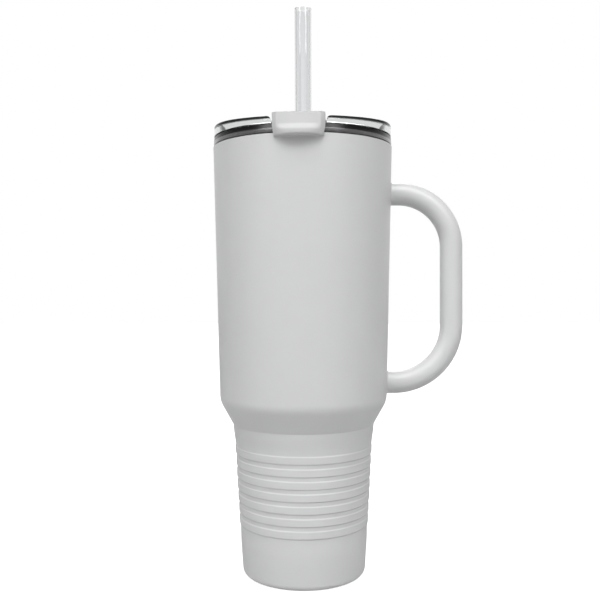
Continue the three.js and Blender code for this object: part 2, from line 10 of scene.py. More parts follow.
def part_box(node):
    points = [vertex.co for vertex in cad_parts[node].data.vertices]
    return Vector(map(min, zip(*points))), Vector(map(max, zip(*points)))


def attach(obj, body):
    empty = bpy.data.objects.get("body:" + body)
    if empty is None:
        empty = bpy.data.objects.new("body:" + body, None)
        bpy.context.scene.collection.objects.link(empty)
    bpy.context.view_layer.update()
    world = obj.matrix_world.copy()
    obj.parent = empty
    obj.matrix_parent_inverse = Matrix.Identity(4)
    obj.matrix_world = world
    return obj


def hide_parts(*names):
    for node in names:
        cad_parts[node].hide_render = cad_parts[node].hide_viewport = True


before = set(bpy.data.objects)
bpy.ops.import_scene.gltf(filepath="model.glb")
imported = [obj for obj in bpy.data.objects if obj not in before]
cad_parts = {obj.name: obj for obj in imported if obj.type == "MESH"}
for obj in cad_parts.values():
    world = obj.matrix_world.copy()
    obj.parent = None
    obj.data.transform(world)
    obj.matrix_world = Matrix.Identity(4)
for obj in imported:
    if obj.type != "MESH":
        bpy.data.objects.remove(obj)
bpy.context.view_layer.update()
scene = bpy.context.scene

# ---------------------------------------------------------------- sizes, in metres

MM = 0.001
SHEET = 0.6 * MM                    # thickness of the steel sheet
HAIR = 0.05 * MM                    # gap between pieces that touch
CAD_GAP = 0.3 * MM                  # the same in the CAD model
SOFT_FIT = 0.1 * MM                 # room round a soft piece, or a straw in one
REACH = 5 * MM                      # how far a cutting tool runs past what it cuts

_, shell_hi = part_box("outer_shell")
liner_lo, liner_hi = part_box("inner_liner")
floor_lo, floor_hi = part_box("inner_bottom")
_, base_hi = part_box("outer_bottom")
handle_lo, handle_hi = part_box("handle")
lid_lo, lid_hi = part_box("lid_body")
gasket_lo, gasket_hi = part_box("lid_gasket")
grommet_lo, grommet_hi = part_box("straw_grommet")
straw_lo, straw_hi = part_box("straw")
pin_lo, pin_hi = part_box("flap_hinge_pin")
tab_lo, tab_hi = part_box("flap")
plug_lo, plug_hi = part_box("sip_plug")

RIM_DROP = 0.013 * MM               # the rim's edge below the top of the CAD shell's sheet
RIM_R, RIM_Z = shell_hi.x, shell_hi.z - RIM_DROP
FOOT_R = base_hi.x + HAIR
BASE_R = 34.45 * MM                 # the narrow part, produced down to the floor
FOOT_ROUND = 3.2 * MM
CREASE_R, CREASE_Z = 39.75 * MM, 84.4 * MM
CREASE_ROUND = 1.2 * MM
SHOULDER_R, SHOULDER_Z = 47.02 * MM, 97.5 * MM
SHOULDER_ROUND = 13 * MM

RING_COUNT = 7
RING_PITCH = 6.63 * MM
RING_LOWEST_Z = 28 * MM
RING_HEIGHT = 5 * MM
RING_LOWER_EDGE = 0.8 * MM
RING_UPPER_EDGE = 0.9 * MM
RING_PROUD = 0.40 * MM              # at a ring's lower edge
RING_PROUD_TOP = 0.26 * MM          # at its upper edge
RECESS = [                          # (height, depth) in mm of the pressed-in ground
    (18, 0), (27, 0.3), (43, 0.38), (57, 0.5), (65, 0.68), (72, 0.64), (83, 0),
]

WALL_GAP = 3.6 * MM                 # from the shell's outside to the liner's outside
NECK_LOW_Z, NECK_HIGH_Z = 214 * MM, 225 * MM
SEAT_GAP = 0.9 * MM                 # the same, in the mouth
LIP_R, LIP_TOP_Z = liner_hi.x, liner_hi.z

HANDLE_R = handle_hi.y
HANDLE_X = handle_hi.x - HANDLE_R
HANDLE_TOP_Z = handle_hi.z - HANDLE_R
HANDLE_BOTTOM_Z = handle_lo.z + HANDLE_R
HANDLE_TOP_BEND = 29.75 * MM
HANDLE_BOTTOM_BEND = 32.25 * MM
HANDLE_SHARP = 50                   # degrees: the flare at its welds stays smooth
WELD_ROUND = 0.7 * MM

LID_R, LID_TOP_Z = lid_hi.x, 248.1 * MM
LID_EDGE_ROUND = 2.2 * MM
LID_SLOPE = 0.0885                  # rise of the rim's top from the front to the middle
LID_SLOPE_END = 10 * MM             # it eases out this far before and behind the middle
LID_RIM_WALL = 3.2 * MM
GROMMET_FLANGE = 1 * MM
DECK_TOP_Z = grommet_hi.z - GROMMET_FLANGE - CAD_GAP
DECK_THICK = 2.2 * MM
SKIRT_R = 47.5 * MM
SKIRT_WALL = 3 * MM
GROOVE_LOW_Z, GROOVE_HIGH_Z = gasket_lo.z - CAD_GAP, gasket_hi.z + CAD_GAP
GROOVE_DEPTH = 1.6 * MM
NOTCH_HALF_WIDTH = 14.1 * MM
NOTCH_Z = 245.4 * MM
NOTCH_ROUND = 2.9 * MM
NOTCH_SPAN = (-60 * MM, -30 * MM)   # the cut's y range: only the front of the rim

STRAW_AXIS = Vector((0, (straw_lo.y + straw_hi.y) / 2, 0))
STRAW_R = straw_hi.x
STRAW_WALL = 1.0 * MM
GROMMET_NECK_R = 6.5 * MM

HINGE_Y = (pin_lo.y + pin_hi.y) / 2
HINGE_Z = (pin_lo.z + pin_hi.z) / 2
PIN_R = (pin_hi.z - pin_lo.z) / 2
EAR_R = 2.9 * MM
EAR_WIDTH = 2.6 * MM
KNUCKLE_R = 3.2 * MM
KNUCKLE_HALF_WIDTH = 9.8 * MM
BORE_HALF_LENGTH = 15 * MM          # longer than the pin

TAB_HALF_WIDTH = tab_hi.x
TAB_TOP_Z = 249.2 * MM
TAB_THICK = 2.3 * MM
TAB_FRONT_Y = -51.4 * MM
TAB_REAR_Y = -18.5 * MM
TONGUE_Y = tab_lo.y
TONGUE_PLAN_R = 18.6 * MM
TONGUE_BOTTOM_Z = tab_lo.z
TAB_TAPER_Z = 243 * MM              # the tongue narrows below this ...
TAB_TAPER = 0.06                    # ... by this much of its width
FLARE_TOP_Z, FLARE_BOTTOM_Z = 243.6 * MM, 240 * MM
TONGUE_CURL = 1.1 * MM              # radius of the rounding at its bottom
TONGUE_THICK = 1.6 * MM
TONGUE_GAP = 0.25 * MM              # between the tongue and the lip
NOTCH_GAP = 0.35 * MM               # between the tab and the notch in the rim
SIP_Y = (plug_lo.y + plug_hi.y) / 2
SIP_HALF_X, SIP_HALF_Y = 8.3 * MM, 3.9 * MM
STUD_HALF_X, STUD_HALF_Y = 6.2 * MM, 1.8 * MM
PLUG_INSET = 0.6                    # mm that the plug stands in from the slot's edge
PLUG_SOCKET = 1.8                   # mm in to the socket round the stud
PLUG_FLANGE = 1.2                   # mm that its flange reaches past the slot's edge
PLUG_FLOOR = 1.2 * MM               # thickness under the stud

ROUND = 192                         # facets round the cup
SMALL_ROUND = 64                    # facets round a small piece
ARC_STEP = math.radians(6)          # turn for each facet of a rounded corner
SHARP = 32                          # degrees from which an edge stays sharp

# ---------------------------------------------------------------- camera and light

CAMERA_DISTANCE = 0.450
CAMERA_HEIGHT = 0.1616
CAMERA_AZIMUTH = math.radians(2.3)
CAMERA_PITCH = math.radians(-1.0)
CAMERA_YAW = math.radians(0.225)
CAMERA_ROLL = math.radians(-0.22)
CAMERA_LENS = 47.6
CEILING = 0.06                      # brightness of the dark ceiling


def make_camera():
    data = bpy.data.cameras.new("camera")
    data.lens = CAMERA_LENS
    data.sensor_width = 36
    data.clip_start = 0.01
    camera = bpy.data.objects.new("camera", data)
    scene.collection.objects.link(camera)
    turn = Matrix.Rotation(CAMERA_AZIMUTH + CAMERA_YAW, 4, "Z")
    tilt = Matrix.Rotation(math.pi / 2 + CAMERA_PITCH, 4, "X")
    roll = Matrix.Rotation(CAMERA_ROLL, 4, "Z")
    place = Matrix.Translation((
        CAMERA_DISTANCE * math.sin(CAMERA_AZIMUTH),
        -CAMERA_DISTANCE * math.cos(CAMERA_AZIMUTH),
        CAMERA_HEIGHT,
    ))
    camera.matrix_world = place @ turn @ tilt @ roll
    scene.camera = camera


def softbox(name, azimuth, elevation, distance, width, height, power):
    """An area light that faces the middle of the mug. Azimuth 0 is in front, 90 to the right."""
    data = bpy.data.lights.new(name, "AREA")
    data.shape = "RECTANGLE"
    data.size, data.size_y = width, height
    data.energy = power
    light = bpy.data.objects.new(name, data)
    scene.collection.objects.link(light)
    a, e = math.radians(azimuth), math.radians(elevation)
    aim = Vector((0, 0, 0.16))
    out = Vector((math.sin(a) * math.cos(e), -math.cos(a) * math.cos(e), math.sin(e)))
    light.location = aim + out * distance
    light.rotation_mode = "QUATERNION"
    light.rotation_quaternion = (-out).to_track_quat("-Z", "Y")
    return light


def make_world():
    """A white backdrop, dim walls and a dark ceiling.

    Clear parts see a white front too.
    """
    world = bpy.data.worlds.new("studio")
    scene.world = world
    world.use_nodes = True
    tree = world.node_tree
    tree.nodes.clear()
    n = Nodes(tree)
    out = n.add("ShaderNodeOutputWorld")
    x, y, z = n.split(n.add("ShaderNodeTexCoord").outputs["Generated"])
    walls = n.ramp(y, [
        (0.0, 0.05), (0.5, 0.38), (0.78, 0.55), (0.90, 1.0), (1.0, 1.0),
    ], low=-1, high=1)
    path = n.add("ShaderNodeLightPath")
    front = n.ramp(y, [(0.0, 1.0), (0.10, 1.0), (0.22, 0.0), (1.0, 0.0)], low=-1, high=1)
    walls = n.math("MAXIMUM", walls, n.math("MULTIPLY", front, path.outputs["Is Transmission Ray"]))
    overhead = n.ramp(z, [(0.0, 0.0), (0.62, 0.0), (0.78, 1.0), (1.0, 1.0)], low=-1, high=1)
    level = n.add("ShaderNodeMix", data_type="RGBA")
    n.link(overhead, level.inputs["Factor"])
    n.link(walls, level.inputs["A"])
    level.inputs["B"].default_value = (CEILING, CEILING, CEILING, 1)
    shade = n.add("ShaderNodeBackground")
    n.link(level.outputs["Result"], shade.inputs["Color"])
    white = n.add("ShaderNodeBackground")
    white.inputs["Color"].default_value = (1, 1, 1, 1)
    mix = n.add("ShaderNodeMixShader")
    n.link(path.outputs["Is Camera Ray"], mix.inputs[0])
    n.link(shade.outputs[0], mix.inputs[1])
    n.link(white.outputs[0], mix.inputs[2])
    n.link(mix.outputs[0], out.inputs["Surface"])


# ---------------------------------------------------------------- node helper


class Nodes:
    """Short calls for making and joining shader nodes."""

    def __init__(self, tree):
        self.tree = tree

    def add(self, kind, **values):
        node = self.tree.nodes.new(kind)
        for key, value in values.items():
            setattr(node, key, value)
        return node

    def link(self, source, target):
        self.tree.links.new(source, target)

    def put(self, value, socket):
        if isinstance(value, bpy.types.NodeSocket):
            self.link(value, socket)
        else:
            socket.default_value = value

    def split(self, vector):
        node = self.add("ShaderNodeSeparateXYZ")
        self.link(vector, node.inputs[0])
        return node.outputs[0], node.outputs[1], node.outputs[2]

    def math(self, operation, a, b=0.0, clamp=False):
        node = self.add("ShaderNodeMath", operation=operation, use_clamp=clamp)
        self.put(a, node.inputs[0])
        self.put(b, node.inputs[1])
        return node.outputs[0]

    def scaled(self, vector, scale):
        node = self.add("ShaderNodeVectorMath", operation="MULTIPLY")
        self.link(vector, node.inputs[0])
        node.inputs[1].default_value = scale
        return node.outputs[0]

    def noise(self, vector, scale, detail=2.0, roughness=0.5):
        node = self.add("ShaderNodeTexNoise")
        self.link(vector, node.inputs["Vector"])
        node.inputs["Scale"].default_value = scale
        node.inputs["Detail"].default_value = detail
        node.inputs["Roughness"].default_value = roughness
        return node.outputs["Fac"]

    def between(self, value, low, high):
        """Maps a value of 0 to 1 onto low to high."""
        node = self.add("ShaderNodeMapRange")
        self.link(value, node.inputs["Value"])
        node.inputs["To Min"].default_value = low
        node.inputs["To Max"].default_value = high
        return node.outputs["Result"]

    def ramp(self, value, stops, low=0.0, high=1.0):
        """A grey ramp over value, which runs from low to high."""
        spread = self.add("ShaderNodeMapRange")
        self.link(value, spread.inputs["Value"])
        spread.inputs["From Min"].default_value = low
        spread.inputs["From Max"].default_value = high
        node = self.add("ShaderNodeValToRGB")
        node.color_ramp.interpolation = "EASE"
        elements = node.color_ramp.elements
        while len(elements) < len(stops):
            elements.new(0.5)
        for element, (at, grey) in zip(elements, stops):
            element.position = at
            element.color = (grey, grey, grey, 1)
        self.link(spread.outputs["Result"], node.inputs["Fac"])
        return node.outputs["Color"]

    def tint(self, value, dark, light):
        """A colour between two, by a value of 0 to 1."""
        node = self.add("ShaderNodeMix", data_type="RGBA")
        self.link(value, node.inputs["Factor"])
        node.inputs["A"].default_value = (*dark, 1)
        node.inputs["B"].default_value = (*light, 1)
        return node.outputs["Result"]

    def bump(self, height, strength, distance):
        node = self.add("ShaderNodeBump")
        node.inputs["Strength"].default_value = strength
        node.inputs["Distance"].default_value = distance
        self.link(height, node.inputs["Height"])
        return node.outputs["Normal"]


# ---------------------------------------------------------------- materials


def new_material(name, **values):
    """A material with a principled shader, its node helper and its object coordinates."""
    material = bpy.data.materials.new(name)
    material.use_nodes = True
    tree = material.node_tree
    shader = tree.nodes["Principled BSDF"]
    for key, value in values.items():
        shader.inputs[key.replace("_", " ")].default_value = value
    nodes = Nodes(tree)
    place = nodes.add("ShaderNodeTexCoord").outputs["Object"]
    return material, shader, nodes, place


def powder_coat():
    """Satin grey powder coat: a fine orange peel with a faint mottle."""
    material, shader, n, place = new_material("powder_coat", IOR=1.58)
    peel = n.noise(place, 1400, 3.0, 0.55)
    waves = n.noise(place, 260, 1.0)
    mottle = n.noise(place, 90, 4.0, 0.6)
    grey = n.tint(mottle, (0.595, 0.598, 0.602), (0.615, 0.618, 0.620))
    n.link(grey, shader.inputs["Base Color"])
    n.link(n.between(peel, 0.34, 0.46), shader.inputs["Roughness"])
    height = n.math("ADD", n.math("MULTIPLY", peel, 0.6), n.math("MULTIPLY", waves, 0.8))
    n.link(n.bump(height, 0.25, 0.02 * MM), shader.inputs["Normal"])
    return material


def turned_steel(name, base_roughness):
    """Stainless steel turned or brushed round the axis: fine level streaks."""
    material, shader, n, place = new_material(name, Metallic=1.0)
    streaks = n.noise(n.scaled(place, (25, 25, 5200)), 1.0, 3.0, 0.7)
    broad = n.noise(n.scaled(place, (8, 8, 700)), 1.0, 2.0)
    n.link(n.tint(streaks, (0.46, 0.46, 0.47), (0.64, 0.64, 0.645)), shader.inputs["Base Color"])
    n.link(n.between(broad, base_roughness, base_roughness + 0.12), shader.inputs["Roughness"])
    n.link(n.bump(streaks, 0.3, 0.01 * MM), shader.inputs["Normal"])
    return material


def painted_lip_shade(n, place, shader, bright):
    """Painted reflection and shade: dark bands by height round the lip, darkest on its upper half
    and at the joint under it.
    """
    _, _, z = n.split(place)
    # painted reflection and shade: the lip's colour darkened band by band with height
    shade = n.ramp(z, [
        (0.0, 1.0), (0.12, 1.0), (0.17, 0.05), (0.25, 0.07), (0.33, 0.54),
        (0.58, 0.52), (0.65, 0.09), (0.83, 0.07), (1.0, 0.065),
    ], low=RIM_Z - 1 * MM, high=LIP_TOP_Z)
    mix = n.add("ShaderNodeMix", data_type="RGBA", blend_type="MULTIPLY")
    mix.inputs["Factor"].default_value = 1
    n.link(bright, mix.inputs["A"])
    n.link(shade, mix.inputs["B"])
    n.link(mix.outputs["Result"], shader.inputs["Base Color"])


def lip_steel():
    """The liner's steel: turned, with painted reflection and shade in bands round the lip."""
    material, shader, n, place = new_material("lip_steel", Metallic=1.0)
    streaks = n.noise(n.scaled(place, (25, 25, 5200)), 1.0, 3.0, 0.7)
    # the lip's colour carries painted reflection and shade
    painted_lip_shade(n, place, shader, n.tint(streaks, (0.48, 0.48, 0.49), (0.66, 0.66, 0.665)))
    n.link(n.between(streaks, 0.20, 0.34), shader.inputs["Roughness"])
    n.link(n.bump(streaks, 0.3, 0.01 * MM), shader.inputs["Normal"])
    return material


def spun_steel():
    """Stainless steel brushed in circles on a flat disc."""
    material, shader, n, place = new_material("spun_steel", Metallic=1.0)
    x, y, _ = n.split(place)
    radius = n.math("SQRT", n.math("ADD", n.math("MULTIPLY", x, x), n.math("MULTIPLY", y, y)))
    rings = n.add("ShaderNodeTexNoise", noise_dimensions="1D")
    n.link(radius, rings.inputs["W"])
    rings.inputs["Scale"].default_value = 4200
    rings.inputs["Detail"].default_value = 3
    fac = rings.outputs["Fac"]
    n.link(n.tint(fac, (0.50, 0.50, 0.51), (0.66, 0.66, 0.665)), shader.inputs["Base Color"])
    n.link(n.between(fac, 0.26, 0.42), shader.inputs["Roughness"])
    n.link(n.bump(fac, 0.25, 0.01 * MM), shader.inputs["Normal"])
    return material


def clear_plastic(name, ior, tint, roughness):
    """Clear plastic. Its tint is a function that makes the colour and may join other inputs."""
    material, shader, n, place = new_material(name, IOR=ior, Transmission_Weight=1.0)
    haze = n.noise(place, 60, 3.0, 0.6)
    flow = n.noise(place, 220, 1.0)
    n.link(tint(n, place, shader), shader.inputs["Base Color"])
    n.link(n.between(haze, 0.0, roughness), shader.inputs["Roughness"])
    n.link(n.bump(flow, 0.15, 0.01 * MM), shader.inputs["Normal"])
    return material


def painted_rim_line(n, place, shader):
    """Clear, but for a painted dark reflection along the top of the lid's rim: an opaque near-black
    band, deeper towards the back.
    """
    _, y, z = n.split(place)
    near = n.math("MINIMUM", y, LID_SLOPE_END)
    eased = n.math("MAXIMUM", n.math("ADD", near, LID_SLOPE_END), 0.0)
    easing = n.math("DIVIDE", n.math("MULTIPLY", eased, eased), 4 * LID_SLOPE_END)
    rise = n.math("SUBTRACT", n.math("ADD", near, LID_R), easing)
    top = n.math("ADD", n.math("MULTIPLY", rise, LID_SLOPE), LID_TOP_Z)
    spread = n.math("MULTIPLY", n.math("ADD", near, LID_R), 0.02)
    depth = n.math("SUBTRACT", n.math("SUBTRACT", top, z), spread)
    # painted dark reflection: opaque and near black just below the rim's top
    painted_line = n.ramp(depth, [(0.0, 0.0), (0.70, 0.0), (0.95, 1.0), (1.0, 1.0)], high=2 * MM)
    n.link(painted_line, shader.inputs["Transmission Weight"])
    n.link(n.between(painted_line, 0.05, 0.5), shader.inputs["Specular IOR Level"])
    return n.tint(painted_line, (0.02, 0.021, 0.022), (0.72, 0.73, 0.73))


def drawn_streaks(n, place, _):
    """Streaks along the tube, as extrusion leaves them."""
    streaks = n.noise(n.scaled(place, (650, 650, 3)), 1.0, 2.0, 0.6)
    return n.tint(streaks, (0.72, 0.73, 0.74), (1.0, 1.0, 1.0))


def tab_plastic():
    """Opaque light grey plastic with a fine moulded grain."""
    material, shader, n, place = new_material("tab_plastic", IOR=1.46)
    grain = n.noise(place, 2600, 2.0)
    mottle = n.noise(place, 120, 3.0)
    n.link(n.tint(mottle, (0.51, 0.512, 0.515), (0.54, 0.54, 0.54)), shader.inputs["Base Color"])
    n.link(n.between(grain, 0.50, 0.62), shader.inputs["Roughness"])
    n.link(n.bump(grain, 0.2, 0.008 * MM), shader.inputs["Normal"])
    return material


def silicone():
    """Soft translucent white silicone."""
    material, shader, n, place = new_material("silicone", IOR=1.41, Subsurface_Weight=0.3,
                                              Subsurface_Scale=2 * MM)
    bloom = n.noise(place, 300, 3.0)
    n.link(n.tint(bloom, (0.78, 0.78, 0.77), (0.85, 0.85, 0.84)), shader.inputs["Base Color"])
    n.link(n.between(bloom, 0.5, 0.68), shader.inputs["Roughness"])
    n.link(n.bump(bloom, 0.2, 0.02 * MM), shader.inputs["Normal"])
    return material


def solder_glass():
    material, shader, n, place = new_material("solder_glass", IOR=1.6)
    swirl = n.noise(place, 700, 3.0)
    n.link(n.tint(swirl, (0.06, 0.07, 0.09), (0.16, 0.18, 0.21)), shader.inputs["Base Color"])
    n.link(n.between(swirl, 0.08, 0.22), shader.inputs["Roughness"])
    return material


def getter_metal():
    material, shader, n, place = new_material("getter_metal", Metallic=0.7)
    grit = n.noise(place, 2400, 4.0, 0.7)
    n.link(n.tint(grit, (0.10, 0.10, 0.11), (0.22, 0.22, 0.23)), shader.inputs["Base Color"])
    n.link(n.between(grit, 0.55, 0.85), shader.inputs["Roughness"])
    n.link(n.bump(grit, 0.5, 0.05 * MM), shader.inputs["Normal"])
    return material


def white_floor():
    """A pale floor, which looks white straight on and through clear parts."""
    material, shader, n, place = new_material("white_floor")
    cloud = n.noise(place, 3, 2.0)
    n.link(n.tint(cloud, (0.49, 0.49, 0.49), (0.52, 0.52, 0.52)), shader.inputs["Base Color"])
    n.link(n.between(cloud, 0.8, 0.9), shader.inputs["Roughness"])
    shader.inputs["Emission Color"].default_value = (1, 1, 1, 1)
    path = n.add("ShaderNodeLightPath")
    seen = n.math("MAXIMUM", path.outputs["Is Camera Ray"], path.outputs["Is Transmission Ray"])
    n.link(n.math("MULTIPLY", seen, 0.88), shader.inputs["Emission Strength"])
    return material


# ---------------------------------------------------------------- mesh helpers


def shade_mesh(mesh, sharp_angle=SHARP):
    """Smooth shading but for sharp edges."""
    mesh.shade_smooth()
    mesh.set_sharp_from_angle(angle=math.radians(sharp_angle))


def finish_mesh(name, build, sharp_angle=SHARP):
    """An object from a bmesh."""
    bmesh.ops.remove_doubles(build, verts=build.verts, dist=1e-7)
    bmesh.ops.recalc_face_normals(build, faces=build.faces)
    mesh = bpy.data.meshes.new(name)
    build.to_mesh(mesh)
    build.free()
    shade_mesh(mesh, sharp_angle)
    piece = bpy.data.objects.new(name, mesh)
    scene.collection.objects.link(piece)
    return piece


def lathe_bmesh(profile, sides=ROUND, centre=Vector((0, 0, 0))):
    """Turns (r, z) points round the vertical line through centre.

    The profile closes on itself or on that line.
    """
    build = bmesh.new()
    rings = []
    for r, z in profile:
        if r < 1e-7:
            rings.append([build.verts.new((centre.x, centre.y, z))] * sides)
            continue
        turns = [2 * math.pi * i / sides for i in range(sides)]
        spots = [(centre.x + r * math.cos(t), centre.y + r * math.sin(t), z) for t in turns]
        rings.append([build.verts.new(spot) for spot in spots])
    on_axis = profile[0][0] < 1e-7
    pairs = list(zip(rings, rings[1:])) + ([] if on_axis else [(rings[-1], rings[0])])
    for low, high in pairs:
        for i in range(sides):
            j = (i + 1) % sides
            corners = []
            for vert in (low[i], low[j], high[j], high[i]):
                if vert not in corners:
                    corners.append(vert)
            if len(corners) > 2:
                build.faces.new(corners)
    return build


def lathe(name, profile, sides=ROUND, centre=Vector((0, 0, 0))):
    return finish_mesh(name, lathe_bmesh(profile, sides, centre))


def arc(centre, radius, start, end):
    """Points on a circle in the (r, z) plane, from the angle start to end."""
    steps = max(2, round(abs(end - start) / ARC_STEP))
    angles = [start + (end - start) * i / steps for i in range(steps + 1)]
    return [(centre[0] + radius * math.cos(a), centre[1] + radius * math.sin(a)) for a in angles]


def outline(corners, inset=0.0):
    """A line with rounded corners (r, z, round), moved in to its left by inset."""
    runs = []
    for (r0, z0, _), (r1, z1, _) in zip(corners, corners[1:]):
        u = Vector((r1 - r0, z1 - z0)).normalized()
        left = Vector((-u.y, u.x)) * inset
        runs.append((u, Vector((r0, z0)) + left, Vector((r1, z1)) + left))
    points = [tuple(runs[0][1])]
    for before, after, (_, _, size) in zip(runs, runs[1:], corners[1:]):
        u, v = before[0], after[0]
        cross = u.x * v.y - u.y * v.x
        step = after[1] - before[2]
        meet = before[2] + u * ((step.x * v.y - step.y * v.x) / cross)
        side = math.copysign(1, cross)
        radius = max(0.0, size - side * inset)
        if radius == 0:
            points.append(tuple(meet))
            continue
        turn = math.asin(min(1, abs(cross)))
        start = meet - u * (radius * math.tan(turn / 2))
        centre = start + Vector((-u.y, u.x)) * (side * radius)
        first = math.atan2(start.y - centre.y, start.x - centre.x)
        points += arc(centre, radius, first, first + side * turn)
    points.append(tuple(runs[-1][2]))
    return points


def prism(polygon, axis, low, high):
    """A bmesh prism: a polygon drawn across an axis ("X", "Y" or "Z"), from low to high."""
    place = {
        "X": lambda u, v, w: (w, u, v),
        "Y": lambda u, v, w: (u, w, v),
        "Z": lambda u, v, w: (u, v, w),
    }[axis]
    build = bmesh.new()
    ends = [[build.verts.new(place(u, v, w)) for u, v in polygon] for w in (low, high)]
    build.faces.new(ends[0])
    build.faces.new(ends[1])
    count = len(polygon)
    for i in range(count):
        j = (i + 1) % count
        build.faces.new((ends[0][i], ends[0][j], ends[1][j], ends[1][i]))
    return build


def combine(piece, build, operation):
    """Joins (UNION) or cuts (DIFFERENCE) a piece with a bmesh."""
    tool = finish_mesh("tool", build)
    change = piece.modifiers.new("combine", "BOOLEAN")
    change.operation, change.solver, change.object = operation, "EXACT", tool
    apply_modifiers(piece)
    bpy.data.meshes.remove(tool.data)


def apply_modifiers(piece):
    shape = piece.evaluated_get(bpy.context.evaluated_depsgraph_get())
    mesh = bpy.data.meshes.new_from_object(shape)
    piece.modifiers.clear()
    old, piece.data = piece.data, mesh
    bpy.data.meshes.remove(old)


def soften(piece, width, segments):
    """Rounds a piece's sharp edges and shades it smooth."""
    bevel = piece.modifiers.new("soften", "BEVEL")
    bevel.width, bevel.segments = width, segments
    bevel.limit_method, bevel.angle_limit = "ANGLE", math.radians(SHARP)
    apply_modifiers(piece)
    shade_mesh(piece.data)


def stadium(half_x, half_y, centre_y, steps=12):
    """A slot with round ends, drawn in (x, y)."""
    reach = half_x - half_y
    right = [math.pi * (i / steps - 0.5) for i in range(steps + 1)]
    points = [(reach + half_y * math.cos(a), centre_y + half_y * math.sin(a)) for a in right]
    return points + [(-x, 2 * centre_y - y) for x, y in points]


def place(piece, material, body, node, slot):
    """Gives a piece its material and its body, and hides the CAD part it stands for. Its slot is
    not used.
    """
    piece.data.materials.clear()
    piece.data.materials.append(material)
    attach(piece, body)
    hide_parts(node)


# ---------------------------------------------------------------- the cup


def narrow_r(z):
    return BASE_R + (CREASE_R - BASE_R) * z / CREASE_Z


def wide_r(z):
    return SHOULDER_R + (RIM_R - SHOULDER_R) * (z - SHOULDER_Z) / (RIM_Z - SHOULDER_Z)


SHELL_CORNERS = [
    (FOOT_R, 0, 0),
    (BASE_R, 0, FOOT_ROUND),
    (CREASE_R, CREASE_Z, CREASE_ROUND),
    (SHOULDER_R, SHOULDER_Z, SHOULDER_ROUND),
    (RIM_R, RIM_Z, 0),
]


def smooth(t):
    t = min(1.0, max(0.0, t))
    return t * t * (3 - 2 * t)


def recess(z):
    """How far the ground between the rings is pressed in at a height."""
    for (z0, depth0), (z1, depth1) in zip(RECESS, RECESS[1:]):
        if z <= z1 * MM:
            return (depth0 + (depth1 - depth0) * smooth((z / MM - z0) / (z1 - z0))) * MM
    return 0.0


def ring_relief(z):
    """How far the grip rings stand out of that ground: most at their lower edges."""
    at = z - RING_LOWEST_Z
    if not 0 <= at < RING_COUNT * RING_PITCH:
        return 0.0
    along = at % RING_PITCH
    rise = smooth(along / RING_LOWER_EDGE)
    fall = smooth((RING_HEIGHT - along) / RING_UPPER_EDGE)
    proud = RING_PROUD + (RING_PROUD_TOP - RING_PROUD) * along / RING_HEIGHT
    return proud * rise * fall


def make_shell():
    outside = outline(SHELL_CORNERS)
    low, high = RECESS[0][0] * MM, RECESS[-1][0] * MM
    step = 0.2 * MM
    heights = [low + i * step for i in range(round((high - low) / step) + 1)]
    grips = [(narrow_r(z) - recess(z) + ring_relief(z), z) for z in heights]
    behind = [(narrow_r(z) - recess(z) - SHEET, z) for z in heights[::5]][::-1]
    below = [p for p in outside if p[1] < low]
    above = [p for p in outside if p[1] > high]
    edge = 0.12 * MM
    rim = [above.pop(), (RIM_R - SHEET, RIM_Z)]
    rim = [(rim[0][0], RIM_Z - edge), (rim[0][0] - edge, RIM_Z), rim[1]]
    inside = outline(SHELL_CORNERS, SHEET)[::-1][1:]
    inside = [p for p in inside if p[1] > high] + behind + [p for p in inside if p[1] < low]
    return lathe("shell", below + grips + above + rim + inside)


def liner_face(inset):
    """One face of the liner from its lower end to the mouth: inset 0 faces the vacuum."""
    low = liner_lo.z
    body = outline([
        (narrow_r(low), low, 0),
        (CREASE_R, CREASE_Z, CREASE_ROUND),
        (SHOULDER_R, SHOULDER_Z, SHOULDER_ROUND),
        (wide_r(NECK_LOW_Z), NECK_LOW_Z, 0),
    ], WALL_GAP + inset)
    body[0] = (body[0][0], low)
    steps = 14
    neck = []
    for i in range(1, steps + 1):
        t = i / steps
        z = NECK_LOW_Z + (NECK_HIGH_Z - NECK_LOW_Z) * t
        neck.append((wide_r(z) - inset - WALL_GAP + (WALL_GAP - SEAT_GAP) * smooth(t), z))
    mouth_z = RIM_Z + HAIR
    return body + neck + [(wide_r(mouth_z) - inset - SEAT_GAP, mouth_z)]


def make_liner():
    outside, inside = liner_face(0), liner_face(SHEET)
    mouth_r = inside[-1][0]
    seam = RIM_Z + HAIR
    tuck, tuck_height = 0.35 * MM, 0.7 * MM     # the lip draws in at the seam
    lean, lean_z = 0.25 * MM, seam + 2.4 * MM   # and leans in above this height
    lip = outline([
        (outside[-1][0], seam, 0),
        (LIP_R - tuck, seam, 0.1 * MM),
        (LIP_R, seam + tuck_height, 0.5 * MM),
        (LIP_R, lean_z, 7 * MM),
        (LIP_R - lean, LIP_TOP_Z, 0.4 * MM),
        (mouth_r, LIP_TOP_Z, 0.3 * MM),
        (mouth_r, seam, 0),
    ])
    return lathe("liner", outside + lip[1:-1] + inside[::-1])


def dish(name, corners):
    return lathe(name, outline(corners) + outline(corners, SHEET)[::-1])


def make_drink_floor():
    return dish("drink_floor", [
        (0, floor_lo.z, 0),
        (floor_hi.x, floor_lo.z, 1.6 * MM),
        (floor_hi.x, floor_hi.z, 0),
    ])


def make_base_plate():
    return dish("base_plate", [
        (0, 0, 0),
        (base_hi.x, 0, 0.9 * MM),
        (base_hi.x, base_hi.z, 0),
    ])


# ---------------------------------------------------------------- the handle


